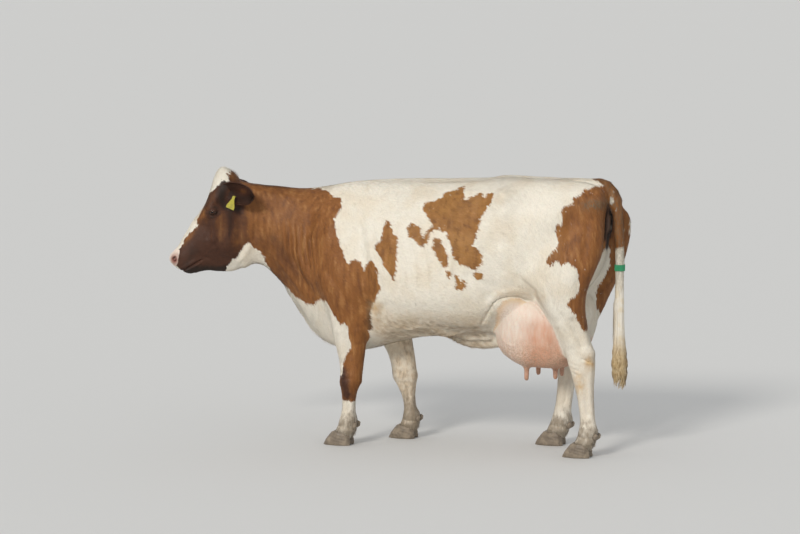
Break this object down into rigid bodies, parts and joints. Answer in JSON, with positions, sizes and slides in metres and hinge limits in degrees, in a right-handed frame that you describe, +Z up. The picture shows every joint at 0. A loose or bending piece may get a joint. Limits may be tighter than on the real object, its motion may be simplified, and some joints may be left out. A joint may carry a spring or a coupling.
{
  "type": "standing dairy cow",
  "caption": "Life-size red and white dairy cow standing square to the side, head turned slightly to its left, with full udder, hanging tail, ear tags and a tail band.",
  "frame": {"origin": "on the floor, under the middle of the whole animal's bounding box", "axes": "+Z up; the cow faces -X; its left side is -Y"},
  "size_m": [2.5428, 0.7034, 1.505],
  "materials": {
    "coat_brown": "short smooth red-brown hair over skin",
    "coat_white": "short smooth cream-white hair with red-brown patches",
    "udder_skin": "bare pink skin with fine pale hair",
    "horn": "dull grey-brown claw horn, muddy",
    "eye": "wet, dark brown, level slit pupil",
    "switch_hair": "long blond hair in matted locks",
    "ear_tag": "moulded flexible plate, satin",
    "tail_band": "woven hook-and-loop band"
  },
  "bodies": {
    "root": {"head": "coat_brown", "neck": "coat_brown", "fore_left_shank": "coat_white", "fore_left_leg": "coat_white", "fore_right_shank": "coat_white", "fore_right_leg": "coat_white", "hind_left_cannon": "coat_white", "hind_left_leg": "coat_white", "hind_right_cannon": "coat_white", "hind_right_leg": "coat_white", "trunk": "coat_white", "udder": "udder_skin", "teat_fore_left": "udder_skin", "teat_fore_right": "udder_skin", "teat_hind_left": "udder_skin", "teat_hind_right": "udder_skin", "tail": "coat_white", "tail_switch": "switch_hair", "tail_band": "tail_band", "claw_fore_left_outer": "horn", "dewclaw_fore_left_outer": "horn", "claw_fore_left_inner": "horn", "dewclaw_fore_left_inner": "horn", "claw_fore_right_outer": "horn", "dewclaw_fore_right_outer": "horn", "claw_fore_right_inner": "horn", "dewclaw_fore_right_inner": "horn", "claw_hind_left_outer": "horn", "dewclaw_hind_left_outer": "horn", "claw_hind_left_inner": "horn", "dewclaw_hind_left_inner": "horn", "claw_hind_right_outer": "horn", "dewclaw_hind_right_outer": "horn", "claw_hind_right_inner": "horn", "dewclaw_hind_right_inner": "horn", "ear_left": "coat_brown", "ear_tag_left": "ear_tag", "eye_left": "eye", "ear_right": "coat_brown", "ear_tag_right": "ear_tag", "eye_right": "eye"}
  },
  "joints": []
}
